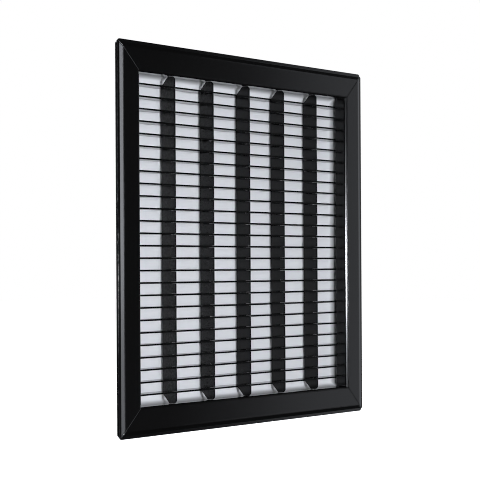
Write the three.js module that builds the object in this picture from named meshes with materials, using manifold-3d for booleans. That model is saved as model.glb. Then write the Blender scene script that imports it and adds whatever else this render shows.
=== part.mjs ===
// Square egg-crate light grid: a mitred black frame, a core of half-lapped
// thin slats and fins, and a shallow white reflector pan screwed on behind.
// Millimetres, +Z up. The open front faces -Y. The origin is the centre of
// the pan's flat back, so the whole grid lies at negative Y.
import * as THREE from 'three';
import { mergeVertices } from 'three/addons/utils/BufferGeometryUtils.js';
import Module from 'manifold-3d';

const wasm = await Module();
wasm.setup();

// Frame rails, measured inward from the outer edge and along Y
const HALF = 200;
const FACE_Y = -25;
const RIM_Y = -23.6;
const PLATE_Y = -22.8;
const LIP_BACK_Y = -20.8;
const RIM_WIDTH = 3.2;
const EDGE_BREAK = 0.3;
const SLOPE_WIDTH = 4.5;
const FACE_INNER = 28.7;
const BEVEL = 2;
const LIP_Y = -22.7;
const WALL_INNER = 30.4;
const WALL_THICK = 1.4;
const WALL_BACK_Y = -8.8;
const OUTER_LIP = 2.25;
const RIB = [20, 26.4];
const CORNER_CUT = 4.5;
const MITRE_GAP = 0.03;

// Core of slats and fins
const CORE_FRONT_Y = -22.5;
const FIN_BACK_Y = -3.3;
const SLAT_BACK_Y = -8.3;
const LAP_Y = -15.4;
const LAP_GAP = 0.1;
const SLOT_GAP = 0.1;
const SLAT_COUNT = 26;
const SLAT_PITCH = 12.6;
const SLAT_THICK = 1.75;
const FIN_COUNT = 5;
const FIN_PITCH = 58.3;
const FIN_THICK = 1.8;
const FIN_HALF = 169.4;
const FIN_FRONT_CUT = 2.7;
const BACK_CUT_SUM = 156.5;
const END_INNER = 168.2;
const END_THICK = 1.2;
const END_HALF = 167;
const END_BACK_Y = -10.1;
const END_LAP_Y = -16.3;
const TAB_HALF = 169.4;
const TAB_GAP = 0.2;

// Reflector pan
const PAN_THICK = 1.2;
const PAN_WALL = 171.8;
const PAN_SKIN = 1;
const PAN_FLANGE = 181.5;
const PAN_FLAT = 166;
const PAN_SLOPE_END_Y = -7;
const PAN_SLOPE_SKIN = 0.36;
const PAN_SLOPE_FOOT_Y = -6.44;

// Corner keys and screws
const KEY_NEAR = 2.5;
const KEY_FAR = 19.7;
const KEY_LEG = 62;
const KEY_BACK_Y = -20.9;
const KEY_CORNER = 6;
const KEY_SCREW_U = 11;
const KEY_SCREW_ALONG = 44;
const KEY_SCREW = { head: 2.8, shank: 1.5, sink: 1.3, tipY: -24.2 };
const KEY_HOLE = { head: 2.95, shank: 1.6 };
const PAN_SCREW_U = 23.2;
const PAN_SCREW_ALONG = 110;
const PAN_SCREW = { head: 2.7, shank: 1.4, tipY: -23.5, topY: -18.5 };
const PAN_HOLE_R = 1.6;
const BLIND_R = 1.55;
const ROUND = 16;

const blackMetal = new THREE.MeshStandardMaterial({ color: 0x17181a, roughness: 0.38, metalness: 0.3 });
const blackCore = new THREE.MeshStandardMaterial({ color: 0x1d1e21, roughness: 0.42, metalness: 0.2 });
const whitePan = new THREE.MeshStandardMaterial({ color: 0xd9dce1, roughness: 0.6, metalness: 0 });
const zincSteel = new THREE.MeshStandardMaterial({ color: 0x8d9196, roughness: 0.4, metalness: 0.9 });

const group = new THREE.Group();

function add(name, geometry, material) {
  const mesh = new THREE.Mesh(geometry, material);
  mesh.name = name;
  group.add(mesh);
  return mesh;
}

function toManifold(geometry) {
  const bare = geometry.clone();
  bare.deleteAttribute('normal');
  bare.deleteAttribute('uv');
  const merged = mergeVertices(bare, 1e-5);
  return new wasm.Manifold(new wasm.Mesh({
    numProp: 3,
    vertProperties: new Float32Array(merged.attributes.position.array),
    triVerts: new Uint32Array(merged.index.array),
  }));
}

function toGeometry(solid) {
  const mesh = solid.getMesh();
  const geometry = new THREE.BufferGeometry();
  geometry.setAttribute('position', new THREE.BufferAttribute(new Float32Array(mesh.vertProperties), 3));
  geometry.setIndex(new THREE.BufferAttribute(new Uint32Array(mesh.triVerts), 1));
  geometry.computeVertexNormals();
  return geometry;
}

function cut(geometry, tools) {
  let solid = toManifold(geometry);
  for (const tool of tools) {
    solid = solid.subtract(toManifold(tool));
  }
  return toGeometry(solid);
}

function outline(points) {
  const shape = new THREE.Shape();
  shape.setFromPoints(points.map(([x, y]) => new THREE.Vector2(x, y)));
  return shape;
}

// A round solid along Y from a profile of [radius, y] pairs
function turned(profile, x, z) {
  const points = profile.map(([r, y]) => new THREE.Vector2(r, y));
  const geometry = new THREE.LatheGeometry(points, ROUND);
  geometry.translate(x, 0, z);
  return geometry;
}

function rod(radius, frontY, backY, x, z) {
  return turned([[0, frontY], [radius, frontY], [radius, backY], [0, backY]], x, z);
}

// Where a fixing sits on each of the four rails: side 0 top, 1 left, 2 bottom, 3 right
function onRail(side, along, inward) {
  const across = HALF - inward;
  const spots = [[along, across], [-across, along], [-along, -across], [across, -along]];
  return spots[side];
}

// Rail section: x is the distance inward from the outer edge, y is depth
function railSection() {
  const wallOuter = WALL_INNER - WALL_THICK;
  return outline([
    [0, LIP_BACK_Y],
    [0, RIM_Y + EDGE_BREAK],
    [EDGE_BREAK, RIM_Y],
    [RIM_WIDTH, RIM_Y],
    [RIM_WIDTH + SLOPE_WIDTH, FACE_Y],
    [FACE_INNER, FACE_Y],
    [FACE_INNER + BEVEL, FACE_Y + BEVEL],
    [FACE_INNER + BEVEL, LIP_Y],
    [WALL_INNER, LIP_Y],
    [WALL_INNER, WALL_BACK_Y],
    [wallOuter, WALL_BACK_Y],
    [wallOuter, PLATE_Y],
    [RIB[1], PLATE_Y],
    [RIB[1], LIP_BACK_Y],
    [RIB[0], LIP_BACK_Y],
    [RIB[0], PLATE_Y],
    [OUTER_LIP, PLATE_Y],
    [OUTER_LIP, LIP_BACK_Y],
  ]);
}

// One mitred rail, first along X at the top, then turned to its side
function railGeometry(side) {
  const geometry = new THREE.ExtrudeGeometry(railSection(), { depth: 1, bevelEnabled: false });
  const position = geometry.attributes.position;
  for (let i = 0; i < position.count; i += 1) {
    const inward = position.getX(i);
    const y = position.getY(i);
    const end = position.getZ(i) > 0.5 ? 1 : -1;
    position.setXYZ(i, end * (HALF - inward - MITRE_GAP), y, HALF - inward);
  }
  const tools = [-1, 1].map((end) => cornerCutter(end));
  tools.push(...railHoles());
  const top = cut(geometry, tools);
  top.rotateY(-side * Math.PI / 2);
  return top;
}

// A prism that takes the sharp outer corner off a rail's end
function cornerCutter(end) {
  const far = HALF + 5;
  const near = HALF - CORNER_CUT;
  const shape = outline([
    [end * near, HALF],
    [end * near, far],
    [end * far, far],
    [end * far, near],
    [end * HALF, near],
  ]);
  const prism = new THREE.ExtrudeGeometry(shape, { depth: LIP_BACK_Y - FACE_Y + 2, bevelEnabled: false });
  prism.rotateX(Math.PI / 2);
  prism.translate(0, LIP_BACK_Y + 1, 0);
  return prism;
}

function railHoles() {
  const holes = [];
  for (const end of [-1, 1]) {
    const keyAt = end * (HALF - KEY_SCREW_ALONG);
    holes.push(rod(BLIND_R, KEY_SCREW.tipY - 0.1, PLATE_Y + 1, keyAt, HALF - KEY_SCREW_U));
    holes.push(rod(BLIND_R, PAN_SCREW.tipY - 0.2, LIP_BACK_Y + 1, end * PAN_SCREW_ALONG, HALF - PAN_SCREW_U));
  }
  return holes;
}

// A flat notched plate in the (length, depth) plane. Slots open to the front
// or to the back; corners are given by the caller.
function notched(front, back, thickness) {
  const shape = outline([...front, ...back]);
  const geometry = new THREE.ExtrudeGeometry(shape, { depth: thickness, bevelEnabled: false });
  geometry.translate(0, 0, -thickness / 2);
  return geometry;
}

function slatPositions() {
  const first = (SLAT_COUNT - 1) / 2;
  return Array.from({ length: SLAT_COUNT }, (_, i) => (first - i) * SLAT_PITCH);
}

function finPositions() {
  const first = (FIN_COUNT - 1) / 2;
  return Array.from({ length: FIN_COUNT }, (_, i) => (i - first) * FIN_PITCH);
}

function slots(centres, width, edgeY, bottomY) {
  const points = [];
  for (const c of centres) {
    const from = c - width / 2;
    const to = c + width / 2;
    points.push([from, edgeY], [from, bottomY], [to, bottomY], [to, edgeY]);
  }
  return points;
}

// Slat: lies flat, slotted from behind over the fins, a tab at each end
function slatGeometry() {
  const tabBack = END_LAP_Y - TAB_GAP;
  const shoulder = END_INNER - LAP_GAP;
  const cutBack = BACK_CUT_SUM - SLAT_BACK_Y;
  const front = [[-TAB_HALF, tabBack], [-TAB_HALF, CORE_FRONT_Y], [TAB_HALF, CORE_FRONT_Y], [TAB_HALF, tabBack]];
  const finSlots = slots(finPositions(), FIN_THICK + 2 * SLOT_GAP, SLAT_BACK_Y, LAP_Y - LAP_GAP);
  const back = [
    [shoulder, tabBack],
    [shoulder, BACK_CUT_SUM - shoulder],
    [cutBack, SLAT_BACK_Y],
    ...finSlots.reverse(),
    [-cutBack, SLAT_BACK_Y],
    [-shoulder, BACK_CUT_SUM - shoulder],
    [-shoulder, tabBack],
  ];
  return notched(front, back, SLAT_THICK);
}

// Fin: stands upright, slotted from the front for every slat
function finGeometry() {
  const width = SLAT_THICK + 2 * SLOT_GAP;
  const zs = slatPositions().reverse();
  const cutBack = BACK_CUT_SUM - FIN_BACK_Y;
  const front = [
    [-FIN_HALF, CORE_FRONT_Y + FIN_FRONT_CUT],
    [-FIN_HALF + FIN_FRONT_CUT, CORE_FRONT_Y],
    ...slots(zs, width, CORE_FRONT_Y, LAP_Y + LAP_GAP),
    [FIN_HALF - FIN_FRONT_CUT, CORE_FRONT_Y],
    [FIN_HALF, CORE_FRONT_Y + FIN_FRONT_CUT],
  ];
  const back = [
    [FIN_HALF, BACK_CUT_SUM - FIN_HALF],
    [cutBack, FIN_BACK_Y],
    [-cutBack, FIN_BACK_Y],
    [-FIN_HALF, BACK_CUT_SUM - FIN_HALF],
  ];
  return upright(notched(front, back, FIN_THICK));
}

// End plate: a narrower upright strip that takes the slat tabs
function endGeometry() {
  const width = SLAT_THICK + 2 * SLOT_GAP;
  const zs = slatPositions().reverse();
  const front = [
    [-END_HALF, CORE_FRONT_Y],
    ...slots(zs, width, CORE_FRONT_Y, END_LAP_Y),
    [END_HALF, CORE_FRONT_Y],
  ];
  const back = [[END_HALF, END_BACK_Y], [-END_HALF, END_BACK_Y]];
  return upright(notched(front, back, END_THICK));
}

// Turns a plate drawn along X so that it stands along Z
function upright(geometry) {
  geometry.rotateY(-Math.PI / 2);
  return geometry;
}

// Pan: a four-sided turned profile is a square tray with 45 degree walls
function panGeometry() {
  const flangeBack = LIP_BACK_Y + PAN_SKIN;
  const wallOuter = PAN_WALL + PAN_SKIN;
  const profile = [
    [0, -PAN_THICK],
    [PAN_FLAT, -PAN_THICK],
    [PAN_WALL, PAN_SLOPE_END_Y],
    [PAN_WALL, LIP_BACK_Y],
    [PAN_FLANGE, LIP_BACK_Y],
    [PAN_FLANGE, flangeBack],
    [wallOuter, flangeBack],
    [wallOuter, PAN_SLOPE_FOOT_Y],
    [PAN_FLAT + PAN_SLOPE_SKIN, 0],
    [0, 0],
  ];
  const points = profile.map(([half, y]) => new THREE.Vector2(half * Math.SQRT2, y));
  const geometry = new THREE.LatheGeometry(points, 4);
  geometry.rotateY(Math.PI / 4);
  const holes = [];
  for (let side = 0; side < 4; side += 1) {
    for (const end of [-1, 1]) {
      const [x, z] = onRail(side, end * PAN_SCREW_ALONG, PAN_SCREW_U);
      holes.push(rod(PAN_HOLE_R, LIP_BACK_Y - 1, flangeBack + 1, x, z));
    }
  }
  return cut(geometry, holes);
}

// Corner key: an L plate in the channel behind two mitred rails
function keyGeometry(side) {
  const near = HALF - KEY_NEAR;
  const far = HALF - KEY_FAR;
  const end = HALF - KEY_LEG;
  const shape = outline([
    [-end, near],
    [-near + KEY_CORNER, near],
    [-near, near - KEY_CORNER],
    [-near, end],
    [-far, end],
    [-far, far],
    [-end, far],
  ]);
  const plate = new THREE.ExtrudeGeometry(shape, { depth: KEY_BACK_Y - PLATE_Y, bevelEnabled: false });
  const position = plate.attributes.position;
  for (let i = 0; i < position.count; i += 1) {
    position.setXYZ(i, position.getX(i), KEY_BACK_Y - position.getZ(i), position.getY(i));
  }
  const holes = keyScrewSpots().map(([x, z]) => turned([
    [0, PLATE_Y - 1],
    [KEY_HOLE.shank, PLATE_Y - 1],
    [KEY_HOLE.shank, KEY_BACK_Y - KEY_SCREW.sink],
    [KEY_HOLE.head, KEY_BACK_Y],
    [KEY_HOLE.head, KEY_BACK_Y + 1],
    [0, KEY_BACK_Y + 1],
  ], x, z));
  const key = cut(plate, holes);
  key.rotateY(-side * Math.PI / 2);
  return key;
}

// The two screws of the top left key
function keyScrewSpots() {
  const a = HALF - KEY_SCREW_ALONG;
  const b = HALF - KEY_SCREW_U;
  return [[-a, b], [-b, a]];
}

function keyScrewGeometry(side, index) {
  const [x, z] = keyScrewSpots()[index];
  const screw = turned([
    [0, KEY_SCREW.tipY],
    [KEY_SCREW.shank, KEY_SCREW.tipY],
    [KEY_SCREW.shank, KEY_BACK_Y - KEY_SCREW.sink],
    [KEY_SCREW.head, KEY_BACK_Y - 0.05],
    [0, KEY_BACK_Y - 0.05],
  ], x, z);
  screw.rotateY(-side * Math.PI / 2);
  return screw;
}

function panScrewGeometry(side, end) {
  const [x, z] = onRail(side, end * PAN_SCREW_ALONG, PAN_SCREW_U);
  const seat = LIP_BACK_Y + PAN_SKIN;
  return turned([
    [0, PAN_SCREW.tipY],
    [PAN_SCREW.shank, PAN_SCREW.tipY],
    [PAN_SCREW.shank, seat],
    [PAN_SCREW.head, seat],
    [PAN_SCREW.head * 0.85, PAN_SCREW.topY],
    [0, PAN_SCREW.topY],
  ], x, z);
}

const sides = ['top', 'left', 'bottom', 'right'];
const corners = ['top_left', 'bottom_left', 'bottom_right', 'top_right'];

sides.forEach((side, i) => {
  add(`${side}_rail`, railGeometry(i), blackMetal);
});

corners.forEach((corner, i) => {
  add(`${corner}_key`, keyGeometry(i), zincSteel);
  add(`${corner}_key_screw_a`, keyScrewGeometry(i, 0), zincSteel);
  add(`${corner}_key_screw_b`, keyScrewGeometry(i, 1), zincSteel);
});

slatPositions().forEach((z, i) => {
  const slat = add(`slat_${String(i + 1).padStart(2, '0')}`, slatGeometry(), blackCore);
  slat.position.z = z;
});

finPositions().forEach((x, i) => {
  const fin = add(`fin_${i + 1}`, finGeometry(), blackCore);
  fin.position.x = x;
});

const endCentre = END_INNER + END_THICK / 2;
add('left_end_plate', endGeometry(), blackCore).position.x = -endCentre;
add('right_end_plate', endGeometry(), blackCore).position.x = endCentre;

add('reflector_pan', panGeometry(), whitePan);
sides.forEach((side, i) => {
  add(`pan_screw_${side}_a`, panScrewGeometry(i, -1), zincSteel);
  add(`pan_screw_${side}_b`, panScrewGeometry(i, 1), zincSteel);
});

export default group;
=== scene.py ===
"""Square egg-crate light grid: black mitred frame, core of half-lapped slats
and fins, shallow white pan behind. Metres, +Z up, open front towards -Y."""
import math

import bmesh
import bpy
from mathutils import Matrix, Vector


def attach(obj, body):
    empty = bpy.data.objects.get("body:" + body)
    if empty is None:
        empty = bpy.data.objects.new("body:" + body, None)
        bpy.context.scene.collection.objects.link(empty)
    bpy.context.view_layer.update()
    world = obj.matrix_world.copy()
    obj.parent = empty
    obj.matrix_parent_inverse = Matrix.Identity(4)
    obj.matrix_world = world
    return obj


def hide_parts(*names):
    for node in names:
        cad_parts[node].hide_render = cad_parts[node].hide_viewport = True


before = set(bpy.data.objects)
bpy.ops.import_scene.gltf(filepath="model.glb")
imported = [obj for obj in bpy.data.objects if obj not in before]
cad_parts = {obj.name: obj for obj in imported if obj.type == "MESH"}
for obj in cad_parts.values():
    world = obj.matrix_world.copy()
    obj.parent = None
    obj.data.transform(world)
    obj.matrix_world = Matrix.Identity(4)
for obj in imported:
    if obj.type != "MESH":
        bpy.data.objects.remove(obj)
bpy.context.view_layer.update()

MM = 0.001

# Frame rails, in millimetres: inward from the outer edge, and depth along Y
HALF = 200.0
FACE_Y = -25.0
RIM_Y = -23.6
PLATE_Y = -22.8
LIP_BACK_Y = -20.8
RIM_WIDTH = 3.2
SLOPE_WIDTH = 4.5
FACE_INNER = 28.7
BEVEL = 2.0
LIP_Y = -22.7
WALL_INNER = 30.4
WALL_THICK = 1.4
WALL_BACK_Y = -8.8
OUTER_LIP = 2.25
RIB = (20.0, 26.4)
CORNER_CUT = 4.5
MITRE_GAP = 0.05

# How far each edge of a rail is eased, in millimetres
RIM_EASE = 0.55
SLOPE_EASE = 0.6
FACE_EASE = 0.5
STEP_EASE = 0.35
BACK_EASE = 0.25
MITRE_EASE = 0.65

# A rail's mitre is eased only in front of this depth
MITRE_FRONT_Y = RIM_Y + 0.3

# How far the cut edges of the sheet parts are eased
SLAT_EASE = 0.05
FIN_EASE = 0.08
KEY_EASE = 0.2

# Reflector pan: the front of its floor, its half widths and its sheet
PAN_FLOOR_Y = -1.2
PAN_FLAT = 166.0
PAN_WALL = 171.8
PAN_FLANGE = 181.5
PAN_SLOPE_END_Y = -7.0
PAN_SHEET = 1.0
PAN_CORNER_EASE = 5.0
PAN_FOLD_EASE = 2.2

# Screws: places on a rail, heads, shanks and ends
KEY_SCREW_U = 11.0
KEY_SCREW_ALONG = 44.0
KEY_BACK_Y = -20.9
PAN_SCREW_U = 23.2
PAN_SCREW_ALONG = 110.0
PAN_SCREW_SEAT_Y = -19.8
KEY_SCREW_HEAD = 2.8
KEY_SCREW_SINK = 0.05
KEY_SCREW_SHANK = 1.5
KEY_SCREW_TIP = 1.1
KEY_SCREW_END_Y = -24.2
PAN_SCREW_HEAD = 2.7
PAN_SCREW_RISE = 1.3
PAN_SCREW_SHANK = 1.4
PAN_SCREW_TIP = 1.0
PAN_SCREW_END_Y = -23.5
SCREW_TIP_LENGTH = 0.3
DRIVE_SIZE = 0.46
SCREW_SIDES = 24
DRIVE_LOBES = (1.0, 0.93, 0.76, 0.93)

# Where a finish or its painted light and shade changes, in metres: where the change starts and
# where it ends
CUT_FRONT = (0.02225, 0.02242)
# MITRE_STRIP and MITRE_STRIP_ACROSS bound a painted highlight: a paler strip along the left mitres
MITRE_STRIP = (0.0002, 0.0007)
MITRE_STRIP_ACROSS = (-0.16, -0.10)
# the fins' painted reflection: their colour turns paler towards the left
FIN_SHEEN_ACROSS = (-0.13, -0.02)
# the pan's painted shade: grey over its border bends, beside the black walls
PAN_BORDER_SHADE = (0.1652, 0.1706)

SIDES = ("top", "left", "bottom", "right")
CORNERS = ("top_left", "bottom_left", "bottom_right", "top_right")


# ---------------------------------------------------------------- materials

class Value:
    """A shader socket that can be used in ordinary arithmetic."""

    def __init__(self, finish, socket):
        self.finish = finish
        self.socket = socket

    def _math(self, operation, first, second=None):
        sockets = {0: first}
        if second is not None:
            sockets[1] = second
        return self.finish.node("ShaderNodeMath", {"operation": operation}, sockets)

    def __add__(self, other):
        return self._math("ADD", self, other)

    __radd__ = __add__

    def __mul__(self, other):
        return self._math("MULTIPLY", self, other)

    __rmul__ = __mul__

    def __sub__(self, other):
        return self._math("SUBTRACT", self, other)

    def __rsub__(self, other):
        return self._math("SUBTRACT", other, self)

    def size(self):
        return self._math("ABSOLUTE", self)

    def greater(self, other):
        return self._math("MAXIMUM", self, other)

    def above(self, low, high):
        """0 below low, 1 above high, smooth between."""
        return self.finish.node(
            "ShaderNodeMapRange",
            {"interpolation_type": "SMOOTHSTEP"},
            {"Value": self, "From Min": low, "From Max": high},
        )


class Finish:
    """A material under construction, with one method that makes any node."""

    def __init__(self, name):
        self.material = bpy.data.materials.new(name)
        self.material.use_nodes = True
        self.tree = self.material.node_tree
        self.tree.nodes.clear()
        self.place = self.node("ShaderNodeTexCoord", output="Object")

    def node(self, kind, settings=None, sockets=None, output=0):
        made = self.tree.nodes.new(kind)
        for name, value in (settings or {}).items():
            setattr(made, name, value)
        for name, value in (sockets or {}).items():
            if isinstance(value, Value):
                self.tree.links.new(value.socket, made.inputs[name])
            else:
                made.inputs[name].default_value = value
        return Value(self, made.outputs[output])

    def axis(self, letter):
        return self.node("ShaderNodeSeparateXYZ", {}, {"Vector": self.place}, output=letter)

    def noise(self, scale, detail=3.0, stretch=(1, 1, 1), rough=0.5):
        place = self.node("ShaderNodeMapping", {}, {"Vector": self.place, "Scale": stretch})
        return self.node(
            "ShaderNodeTexNoise", {},
            {"Vector": place, "Scale": scale, "Detail": detail, "Roughness": rough},
        )

    def mix_colour(self, factor, first, second):
        return self.node(
            "ShaderNodeMix", {"data_type": "RGBA"},
            {0: factor, 6: first, 7: second}, output=2,
        )

    def bump(self, height, strength, distance):
        return self.node(
            "ShaderNodeBump", {},
            {"Height": height, "Strength": strength, "Distance": distance}, output="Normal",
        )

    def shader(self, **sockets):
        named = {name.replace("_", " ").title().replace("Ior", "IOR"): value
                 for name, value in sockets.items()}
        return self.node("ShaderNodeBsdfPrincipled", {}, named)

    def finished(self, shader):
        out = self.tree.nodes.new("ShaderNodeOutputMaterial")
        self.tree.links.new(shader.socket, out.inputs["Surface"])
        return self.material

    def surface(self, **sockets):
        return self.finished(self.shader(**sockets))

    def with_cut_front(self, shader, normal):
        """The same sheet, with its sheared front edge left dead matt and black."""
        front = (-1.0 * self.axis("Y")).above(*CUT_FRONT)
        edge = self.shader(base_color=grey(0.0020), roughness=0.35, normal=normal, ior=1.15)
        return self.finished(self.node("ShaderNodeMixShader", {}, {0: front, 1: shader, 2: edge}))


def grey(level):
    return (level, level, level, 1.0)


def satin_black_coat():
    """Powder coat on the rails: a fine even skin, with a painted highlight as a paler strip along
    the left mitres.
    """
    finish = Finish("satin_black_coat")
    skin = finish.noise(2600.0, 2.0)
    patches = finish.noise(9.0, 4.0)
    dust = finish.noise(420.0, 5.0, rough=0.7)
    across = finish.axis("X")
    off_mitre = (across.size() - finish.axis("Z").size()).size()
    near_mitre = 1.0 - off_mitre.above(*MITRE_STRIP)
    # Painted highlight: a paler strip of the coat along the left mitres stands in for the glint of
    # light on them
    painted_sheen = near_mitre * (1.0 - across.above(*MITRE_STRIP_ACROSS))
    colour = finish.mix_colour(patches, grey(0.0016), grey(0.0030))
    colour = finish.mix_colour(painted_sheen, colour, grey(0.035))
    rough = 0.155 + 0.02 * patches + 0.03 * dust.above(0.56, 0.74)
    normal = finish.bump(skin, 0.02, 0.0002)
    return finish.surface(base_color=colour, roughness=rough, normal=normal, ior=1.5)


def black_slat_lacquer():
    """Semi-gloss lacquer on the slats, with lengthwise streaks."""
    finish = Finish("black_slat_lacquer")
    grain = finish.noise(700.0, 2.0, rough=0.6)
    streaks = finish.noise(60.0, 3.0, stretch=(1.0, 8.0, 8.0))
    colour = finish.mix_colour(streaks, grey(0.0015), grey(0.0040))
    rough = 0.11 + 0.06 * grain
    normal = finish.bump(grain, 0.05, 0.0002)
    return finish.with_cut_front(
        finish.shader(base_color=colour, roughness=rough, normal=normal, ior=1.42), normal)


def black_fin_lacquer():
    """The same lacquer on the fins and end plates, grainier, with a painted reflection that makes
    them paler to the left.
    """
    finish = Finish("black_fin_lacquer")
    grain = finish.noise(420.0, 2.0, rough=0.65)
    # Painted reflection: a paler colour towards the left, broken up by the grain, stands in for a
    # brighter reflection on the left fins
    painted_sheen = 1.0 - finish.axis("X").above(*FIN_SHEEN_ACROSS)
    coat = finish.mix_colour(grain, grey(0.0006), grey(0.0058))
    colour = finish.mix_colour(painted_sheen * grain, coat, grey(0.040))
    rough = 0.11 + 0.10 * grain
    normal = finish.bump(grain, 0.10, 0.0003)
    return finish.with_cut_front(
        finish.shader(base_color=colour, roughness=rough, normal=normal, ior=1.34), normal)


def white_pan_enamel():
    """Matt white enamel with faint roller lines, and painted shade that greys it over the border
    bends.
    """
    finish = Finish("white_pan_enamel")
    lines = finish.noise(40.0, 3.0, stretch=(0.25, 1.0, 16.0))
    clouds = finish.noise(12.0, 3.0)
    across = finish.axis("X")
    up = finish.axis("Z")
    outward = across.size().greater(up.size())
    # Painted shade: the enamel turns grey over the border bends, where the black walls shade it
    border = outward.above(*PAN_BORDER_SHADE)
    full = finish.mix_colour(0.6 * lines + 0.4 * clouds, grey(0.80), grey(0.86))
    colour = finish.mix_colour(border, full, grey(0.26))
    rough = 0.50 + 0.10 * lines
    normal = finish.bump(lines, 0.06, 0.0003)
    return finish.surface(base_color=colour, roughness=rough, normal=normal, ior=1.45)


def zinc_plate():
    """Bright zinc on keys and screws, with the usual slight clouding."""
    finish = Finish("zinc_plate")
    clouds = finish.noise(90.0, 5.0, rough=0.65)
    grain = finish.noise(1800.0, 2.0)
    colour = finish.mix_colour(clouds, (0.42, 0.43, 0.45, 1.0), (0.60, 0.61, 0.62, 1.0))
    rough = 0.30 + 0.18 * clouds
    normal = finish.bump(grain, 0.06, 0.0002)
    return finish.surface(base_color=colour, metallic=1.0, roughness=rough, normal=normal)


# ------------------------------------------------------------------ shaping

def shade_by_area(mesh, limit):
    """Smooth shading in which large flats stay flat and only the rounds bend."""
    around = [[] for _ in mesh.vertices]
    for polygon in mesh.polygons:
        polygon.use_smooth = True
        for v in polygon.vertices:
            around[v].append(polygon)
    normals = []
    for polygon in mesh.polygons:
        for v in polygon.vertices:
            total = Vector()
            for other in around[v]:
                if other.normal.dot(polygon.normal) > math.cos(limit):
                    total += other.normal * other.area
            normals.append(total.normalized())
    mesh.normals_split_custom_set(normals)


def finish_piece(bm, name, node, material, smooth_angle=50.0):
    """Turns a bmesh into a named piece that stands for a CAD node."""
    bmesh.ops.recalc_face_normals(bm, faces=bm.faces)
    mesh = bpy.data.meshes.new(name)
    bm.to_mesh(mesh)
    bm.free()
    piece = bpy.data.objects.new(name, mesh)
    bpy.context.scene.collection.objects.link(piece)
    mesh.materials.append(material)
    shade_by_area(mesh, math.radians(smooth_angle))
    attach(piece, "root")
    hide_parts(node)
    return piece


def long_edges_at(bm, points):
    """Edges along X whose (depth, height) in mm is one of the points."""
    found = []
    for edge in bm.edges:
        a, b = (v.co for v in edge.verts)
        if abs(a.y - b.y) > 1e-7 or abs(a.z - b.z) > 1e-7:
            continue
        if any(abs(a.y / MM - y) < 0.01 and abs(a.z / MM - z) < 0.01 for y, z in points):
            found.append(edge)
    return found


def round_edges(bm, edges, radius, segments=3, clamp=True):
    bmesh.ops.bevel(
        bm, geom=edges, offset=radius * MM, offset_type="OFFSET", segments=segments,
        profile=0.5, affect="EDGES", material=-1, clamp_overlap=clamp,
    )


def rail_section():
    """(inward, depth) corners of a rail's folded section."""
    outer_wall = WALL_INNER - WALL_THICK
    return [
        (0, LIP_BACK_Y),
        (0, RIM_Y),
        (RIM_WIDTH, RIM_Y),
        (RIM_WIDTH + SLOPE_WIDTH, FACE_Y),
        (FACE_INNER, FACE_Y),
        (FACE_INNER + BEVEL, FACE_Y + BEVEL),
        (FACE_INNER + BEVEL, LIP_Y),
        (WALL_INNER, LIP_Y),
        (WALL_INNER, WALL_BACK_Y),
        (outer_wall, WALL_BACK_Y),
        (outer_wall, PLATE_Y),
        (RIB[1], PLATE_Y),
        (RIB[1], LIP_BACK_Y),
        (RIB[0], LIP_BACK_Y),
        (RIB[0], PLATE_Y),
        (OUTER_LIP, PLATE_Y),
        (OUTER_LIP, LIP_BACK_Y),
    ]


def slice_off(bm, point, normal):
    """Cuts everything on the normal's side away and closes the cut."""
    geom = bm.verts[:] + bm.edges[:] + bm.faces[:]
    cut = bmesh.ops.bisect_plane(
        bm, geom=geom, dist=1e-7, plane_co=Vector(point) * MM, plane_no=Vector(normal),
        clear_outer=True,
    )
    rim = [e for e in cut["geom_cut"] if isinstance(e, bmesh.types.BMEdge)]
    bmesh.ops.holes_fill(bm, edges=rim, sides=0)


def is_mitre_front(edge):
    """An edge between a rail's front and one of its mitred ends."""
    gap = MITRE_GAP * math.sqrt(2) * MM
    on_plane = all(abs(abs(v.co.x) - v.co.z + gap) < 5e-6 for v in edge.verts)
    in_front = all(v.co.y < MITRE_FRONT_Y * MM for v in edge.verts)
    return on_plane and in_front


def make_rail(side, material):
    bm = bmesh.new()
    corners = [bm.verts.new((-HALF * MM, y * MM, (HALF - u) * MM)) for u, y in rail_section()]
    end = bm.faces.new(corners)
    grown = bmesh.ops.extrude_face_region(bm, geom=[end])
    moved = [v for v in grown["geom"] if isinstance(v, bmesh.types.BMVert)]
    bmesh.ops.translate(bm, verts=moved, vec=(2 * HALF * MM, 0, 0))
    bmesh.ops.recalc_face_normals(bm, faces=bm.faces)

    slope_end = RIM_WIDTH + SLOPE_WIDTH
    lip = FACE_INNER + BEVEL
    for radius, segments, points in (
        (RIM_EASE, 4, [(RIM_Y, HALF)]),
        (SLOPE_EASE, 4, [(FACE_Y, HALF - slope_end)]),
        (FACE_EASE, 4, [(FACE_Y, HALF - FACE_INNER)]),
        (STEP_EASE, 3, [(RIM_Y, HALF - RIM_WIDTH), (FACE_Y + BEVEL, HALF - lip)]),
        (BACK_EASE, 2, [
            (LIP_BACK_Y, HALF), (LIP_BACK_Y, HALF - OUTER_LIP),
            (WALL_BACK_Y, HALF - WALL_INNER), (WALL_BACK_Y, HALF - WALL_INNER + WALL_THICK),
            (LIP_BACK_Y, HALF - RIB[0]), (LIP_BACK_Y, HALF - RIB[1])]),
    ):
        round_edges(bm, long_edges_at(bm, points), radius, segments)

    for end in (-1, 1):
        slice_off(bm, (-end * MITRE_GAP * math.sqrt(2), 0, 0), (end, 0, -1))
        corner = HALF - CORNER_CUT / 2
        slice_off(bm, (end * corner, 0, corner), (end, 0, 1))
    fronts = [e for e in bm.edges if is_mitre_front(e)]
    round_edges(bm, fronts, MITRE_EASE, 4, clamp=False)

    bmesh.ops.rotate(bm, verts=bm.verts, cent=(0, 0, 0),
                     matrix=Matrix.Rotation(-side * math.pi / 2, 3, "Y"))
    return finish_piece(bm, f"{SIDES[side]}_frame_rail", f"{SIDES[side]}_rail",
                        material)


def folds_over(bm, degrees):
    """Edges at which two faces turn by more than the angle."""
    return [e for e in bm.edges
            if len(e.link_faces) == 2 and e.calc_face_angle(0) > math.radians(degrees)]


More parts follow.
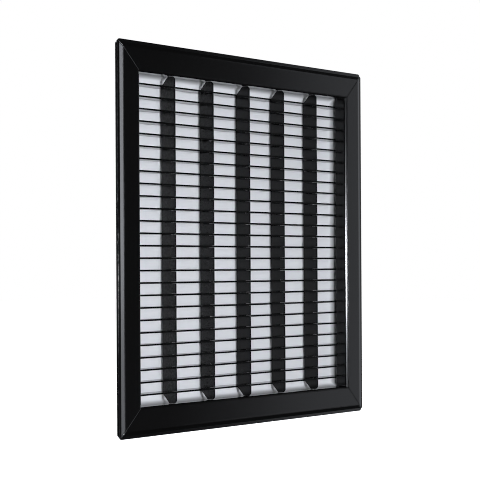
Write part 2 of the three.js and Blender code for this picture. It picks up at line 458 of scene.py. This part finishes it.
def make_sheet_part(node, name, material, edge_radius):
    """A flat plate with its cut edges eased: the CAD plate, merged and broken at the edges."""
    bm = bmesh.new()
    bm.from_mesh(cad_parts[node].data)
    bmesh.ops.remove_doubles(bm, verts=bm.verts, dist=1e-6)
    bmesh.ops.dissolve_limit(bm, angle_limit=math.radians(1), verts=bm.verts, edges=bm.edges)
    sharp = folds_over(bm, 30)
    round_edges(bm, sharp, edge_radius, 2)
    return finish_piece(bm, name, node, material)


def ring_out(bm, edges, half, y):
    """Extrudes an open square ring to a new half width and depth."""
    grown = bmesh.ops.extrude_edge_only(bm, edges=edges)["geom"]
    verts = [v for v in grown if isinstance(v, bmesh.types.BMVert)]
    for v in verts:
        v.co.x = math.copysign(half * MM, v.co.x)
        v.co.z = math.copysign(half * MM, v.co.z)
        v.co.y = y * MM
    return [e for e in grown if isinstance(e, bmesh.types.BMEdge)]


def make_pan(material):
    bm = bmesh.new()
    bmesh.ops.create_grid(bm, x_segments=1, y_segments=1, size=PAN_FLAT * MM,
                          matrix=Matrix.Translation((0, PAN_FLOOR_Y * MM, 0))
                          @ Matrix.Rotation(math.pi / 2, 4, "X"))
    edges = bm.edges[:]
    for half, y in ((PAN_WALL, PAN_SLOPE_END_Y), (PAN_WALL, LIP_BACK_Y), (PAN_FLANGE, LIP_BACK_Y)):
        edges = ring_out(bm, edges, half, y)
    bmesh.ops.recalc_face_normals(bm, faces=bm.faces)

    spokes = [e for e in bm.edges if is_spoke(e)]
    round_edges(bm, spokes, PAN_CORNER_EASE, 6)
    folds = [e for e in folds_over(bm, 35) if abs(e.verts[0].co.y - e.verts[1].co.y) < 1e-6]
    round_edges(bm, folds, PAN_FOLD_EASE, 5)
    bmesh.ops.recalc_face_normals(bm, faces=bm.faces)
    flat = max(bm.faces, key=lambda f: f.calc_area())
    if flat.normal.y > 0:
        bmesh.ops.reverse_faces(bm, faces=bm.faces)
    bmesh.ops.solidify(bm, geom=bm.faces[:], thickness=PAN_SHEET * MM)
    return finish_piece(bm, "white_reflector_pan", "reflector_pan", material)


def is_spoke(edge):
    """An edge of the pan that runs up one of its four corners."""
    a, b = (v.co for v in edge.verts)
    along_corner = abs(abs(a.x) - abs(a.z)) < 1e-6 and abs(abs(b.x) - abs(b.z)) < 1e-6
    same_quarter = a.x * b.x > 0 and a.z * b.z > 0
    return along_corner and same_quarter


def make_screw(name, node, x, z, seat_y, head, shank_tip_y, sunk, material):
    """A six-lobe screw along Y, its head towards the back."""
    bm = bmesh.new()
    towards_back = Matrix.Rotation(-math.pi / 2, 4, "X")
    ring = bmesh.ops.create_circle(bm, cap_ends=False, segments=SCREW_SIDES, radius=1.0,
                                   matrix=towards_back)["verts"]
    order = sorted(ring, key=lambda v: math.atan2(v.co.z, v.co.x))
    unit = [v.co.copy() for v in order]

    def settle(verts, radius, y, lobed=False):
        for i, v in enumerate(verts):
            scale = radius * (DRIVE_LOBES[i % 4] if lobed else 1.0)
            v.co = Vector((unit[i].x * scale + x, y, unit[i].z * scale + z)) * MM

    def next_ring(verts, radius, y, lobed=False):
        edges = [e for e in bm.edges if e.verts[0] in verts and e.verts[1] in verts]
        grown = bmesh.ops.extrude_edge_only(bm, edges=edges)["geom"]
        fresh = [v for v in grown if isinstance(v, bmesh.types.BMVert)]
        fresh.sort(key=lambda v: math.atan2(v.co.z - z * MM, v.co.x - x * MM))
        settle(fresh, radius, y, lobed)
        return fresh

    settle(order, head * DRIVE_SIZE, seat_y + sunk["floor"], lobed=True)
    bm.faces.new(order)
    current = order
    for radius, y, lobed in sunk["rings"]:
        current = next_ring(current, radius, y, lobed)
    for radius, y in shank_tip_y:
        current = next_ring(current, radius, y)
    bm.faces.new(current)
    bmesh.ops.recalc_face_normals(bm, faces=bm.faces)
    return finish_piece(bm, name, node, material, smooth_angle=35.0)


def key_screw(corner, letter, x, z, material):
    back = KEY_BACK_Y - KEY_SCREW_SINK
    head = KEY_SCREW_HEAD
    rings = [(head * DRIVE_SIZE, back, True), (2.75, back, False), (head, back - 0.08, False),
             (KEY_SCREW_SHANK, KEY_BACK_Y - 1.3, False)]
    shank = [(KEY_SCREW_SHANK, KEY_SCREW_END_Y + SCREW_TIP_LENGTH),
             (KEY_SCREW_TIP, KEY_SCREW_END_Y)]
    return make_screw(f"{corner}_countersunk_screw_{letter}", f"{corner}_key_screw_{letter}",
                      x, z, back, head, shank, {"floor": -1.0, "rings": rings}, material)


def pan_screw(side, letter, x, z, material):
    seat = PAN_SCREW_SEAT_Y
    head = PAN_SCREW_HEAD
    top = seat + PAN_SCREW_RISE
    rings = [(head * DRIVE_SIZE, top, True), (1.7, top - 0.02, False), (2.3, top - 0.2, False),
             (2.62, top - 0.55, False), (head, top - 0.9, False), (head, seat, False),
             (PAN_SCREW_SHANK, seat, False)]
    shank = [(PAN_SCREW_SHANK, PAN_SCREW_END_Y + SCREW_TIP_LENGTH),
             (PAN_SCREW_TIP, PAN_SCREW_END_Y)]
    return make_screw(f"pan_head_screw_{side}_{letter}", f"pan_screw_{side}_{letter}",
                      x, z, top, head, shank, {"floor": -0.9, "rings": rings}, material)


def on_rail(side, along, inward):
    across = HALF - inward
    return ((along, across), (-across, along), (-along, -across), (across, -along))[side]


def turned(side, x, z):
    """A point near the top left corner, carried round to another corner."""
    for _ in range(side):
        x, z = -z, x
    return x, z


def build_grid():
    coat = satin_black_coat()
    slat_coat = black_slat_lacquer()
    fin_coat = black_fin_lacquer()
    enamel = white_pan_enamel()
    zinc = zinc_plate()

    for side in range(4):
        make_rail(side, coat)
    for i in range(1, 27):
        make_sheet_part(f"slat_{i:02d}", f"thin_slat_{i:02d}", slat_coat,
                        SLAT_EASE)
    for i in range(1, 6):
        make_sheet_part(f"fin_{i}", f"upright_fin_{i}", fin_coat, FIN_EASE)
    for hand in ("left", "right"):
        make_sheet_part(f"{hand}_end_plate", f"{hand}_slotted_end_plate",
                        fin_coat, FIN_EASE)
    make_pan(enamel)
    for i, corner in enumerate(CORNERS):
        make_sheet_part(f"{corner}_key", f"{corner}_corner_key", zinc, KEY_EASE)
        a, b = HALF - KEY_SCREW_ALONG, HALF - KEY_SCREW_U
        key_screw(corner, "a", *turned(i, -a, b), zinc)
        key_screw(corner, "b", *turned(i, -b, a), zinc)
    for i, side in enumerate(SIDES):
        pan_screw(side, "a", *on_rail(i, -PAN_SCREW_ALONG, PAN_SCREW_U), zinc)
        pan_screw(side, "b", *on_rail(i, PAN_SCREW_ALONG, PAN_SCREW_U), zinc)


# -------------------------------------------------------------------- stage

VIEW_AZIMUTH = math.radians(-48.33)
VIEW_DISTANCE = 1.6407
VIEW_ASIDE = -0.01045
VIEW_HEIGHT = -0.0288
VIEW_ROLL = math.radians(-0.317)
FOCUS_Y = -0.0225
LENS = 112.62
SHIFT_X = -0.0013
SHIFT_Y = 0.0571
FLOOR_Z = -0.62
FLOOR_HALF = 20.0
WHITE = (1, 1, 1, 1)
AMBIENT = 0.02

# name, azimuth (0 straight in front, + to the right), elevation, distance,
# width, height, watts, lean (clockwise as seen from the grid): degrees, metres
LAMPS = (
    ("front_key", -12.0, -1.0, 1.6, 0.25, 0.12, 17.0, 0.0),
    ("front_strip", 9.2, 6.2, 5.0, 0.7, 1.55, 23.0, 0.0),
    ("front_strip_low", 9.2, -7.7, 5.0, 0.7, 0.85, 6.3, 0.0),
    ("right_panel", 73.7, 1.0, 8.0, 7.0, 6.5, 78.0, -6.5),
    ("overhead", 20.0, 80.0, 4.0, 3.0, 3.0, 20.0, 0.0),
    ("left_panel", -28.0, 2.0, 8.0, 4.0, 5.0, 14.0, 0.0),
    ("from_below", 0.0, -58.0, 4.0, 3.0, 2.0, 9.0, 0.0),
    ("behind_left", -160.0, 18.0, 5.0, 2.6, 3.0, 190.0, 0.0),
    ("behind_right", 150.0, 10.0, 6.0, 3.0, 3.0, 90.0, 0.0),
)
LAMP_TINT = (0.965, 1.0, 1.075)


def make_camera():
    camera = bpy.data.cameras.new("view")
    camera.lens = LENS
    camera.sensor_width = 36.0
    camera.shift_x = SHIFT_X
    camera.shift_y = SHIFT_Y
    holder = bpy.data.objects.new("view", camera)
    bpy.context.scene.collection.objects.link(holder)
    s, c = math.sin(VIEW_AZIMUTH), math.cos(VIEW_AZIMUTH)
    spot = Vector((s * VIEW_DISTANCE + c * VIEW_ASIDE,
                   FOCUS_Y - c * VIEW_DISTANCE + s * VIEW_ASIDE, VIEW_HEIGHT))
    holder.matrix_world = (
        Matrix.Translation(spot) @ Matrix.Rotation(VIEW_AZIMUTH, 4, "Z")
        @ Matrix.Rotation(math.pi / 2, 4, "X") @ Matrix.Rotation(VIEW_ROLL, 4, "Z"))
    bpy.context.scene.camera = holder


def soft_light(name, azimuth, elevation, distance, width, height, power, lean):
    """A soft panel aimed at the grid, tipped by lean about its own axis."""
    lamp = bpy.data.lights.new(name, "AREA")
    lamp.shape = "RECTANGLE"
    lamp.size = width
    lamp.size_y = height
    lamp.energy = power
    lamp.color = LAMP_TINT
    holder = bpy.data.objects.new(name, lamp)
    holder.visible_camera = False
    bpy.context.scene.collection.objects.link(holder)
    a, e = math.radians(azimuth), math.radians(elevation)
    spot = Vector((math.sin(a) * math.cos(e), -math.cos(a) * math.cos(e), math.sin(e))) * distance
    facing = (-spot).to_track_quat("-Z", "Y").to_matrix().to_4x4()
    tipped = Matrix.Rotation(math.radians(lean), 4, "Z")
    holder.matrix_world = Matrix.Translation(spot) @ facing @ tipped


def make_floor():
    bm = bmesh.new()
    bmesh.ops.create_grid(bm, x_segments=1, y_segments=1, size=FLOOR_HALF,
                          matrix=Matrix.Translation((0, 0, FLOOR_Z)))
    mesh = bpy.data.meshes.new("pale_floor")
    bm.to_mesh(mesh)
    bm.free()
    floor = bpy.data.objects.new("pale_floor", mesh)
    bpy.context.scene.collection.objects.link(floor)
    finish = Finish("pale_floor")
    mesh.materials.append(finish.surface(
        base_color=grey(0.9), roughness=0.9, emission_color=grey(1.0), emission_strength=1.0))
    floor.visible_glossy = False
    floor.visible_diffuse = False
    floor.visible_shadow = False


def make_surroundings():
    """White to look at, dim to be lit by: the lamps do the lighting."""
    world = bpy.data.worlds.new("studio")
    world.use_nodes = True
    bpy.context.scene.world = world
    nodes, links = world.node_tree.nodes, world.node_tree.links
    nodes.clear()
    seen = nodes.new("ShaderNodeBackground")
    seen.inputs["Color"].default_value = WHITE
    seen.inputs["Strength"].default_value = 1.0
    dim = nodes.new("ShaderNodeBackground")
    dim.inputs["Color"].default_value = WHITE
    dim.inputs["Strength"].default_value = AMBIENT
    path = nodes.new("ShaderNodeLightPath")
    mix = nodes.new("ShaderNodeMixShader")
    out = nodes.new("ShaderNodeOutputWorld")
    links.new(path.outputs["Is Camera Ray"], mix.inputs[0])
    links.new(dim.outputs[0], mix.inputs[1])
    links.new(seen.outputs[0], mix.inputs[2])
    links.new(mix.outputs[0], out.inputs["Surface"])


def set_stage():
    make_camera()
    make_surroundings()
    make_floor()
    for lamp in LAMPS:
        soft_light(*lamp)
    bpy.context.scene.cycles.filter_width = 1.0
    view = bpy.context.scene.view_settings
    view.view_transform = "Standard"
    view.look = "None"
    view.exposure = 0.0
    view.gamma = 1.0


build_grid()
set_stage()
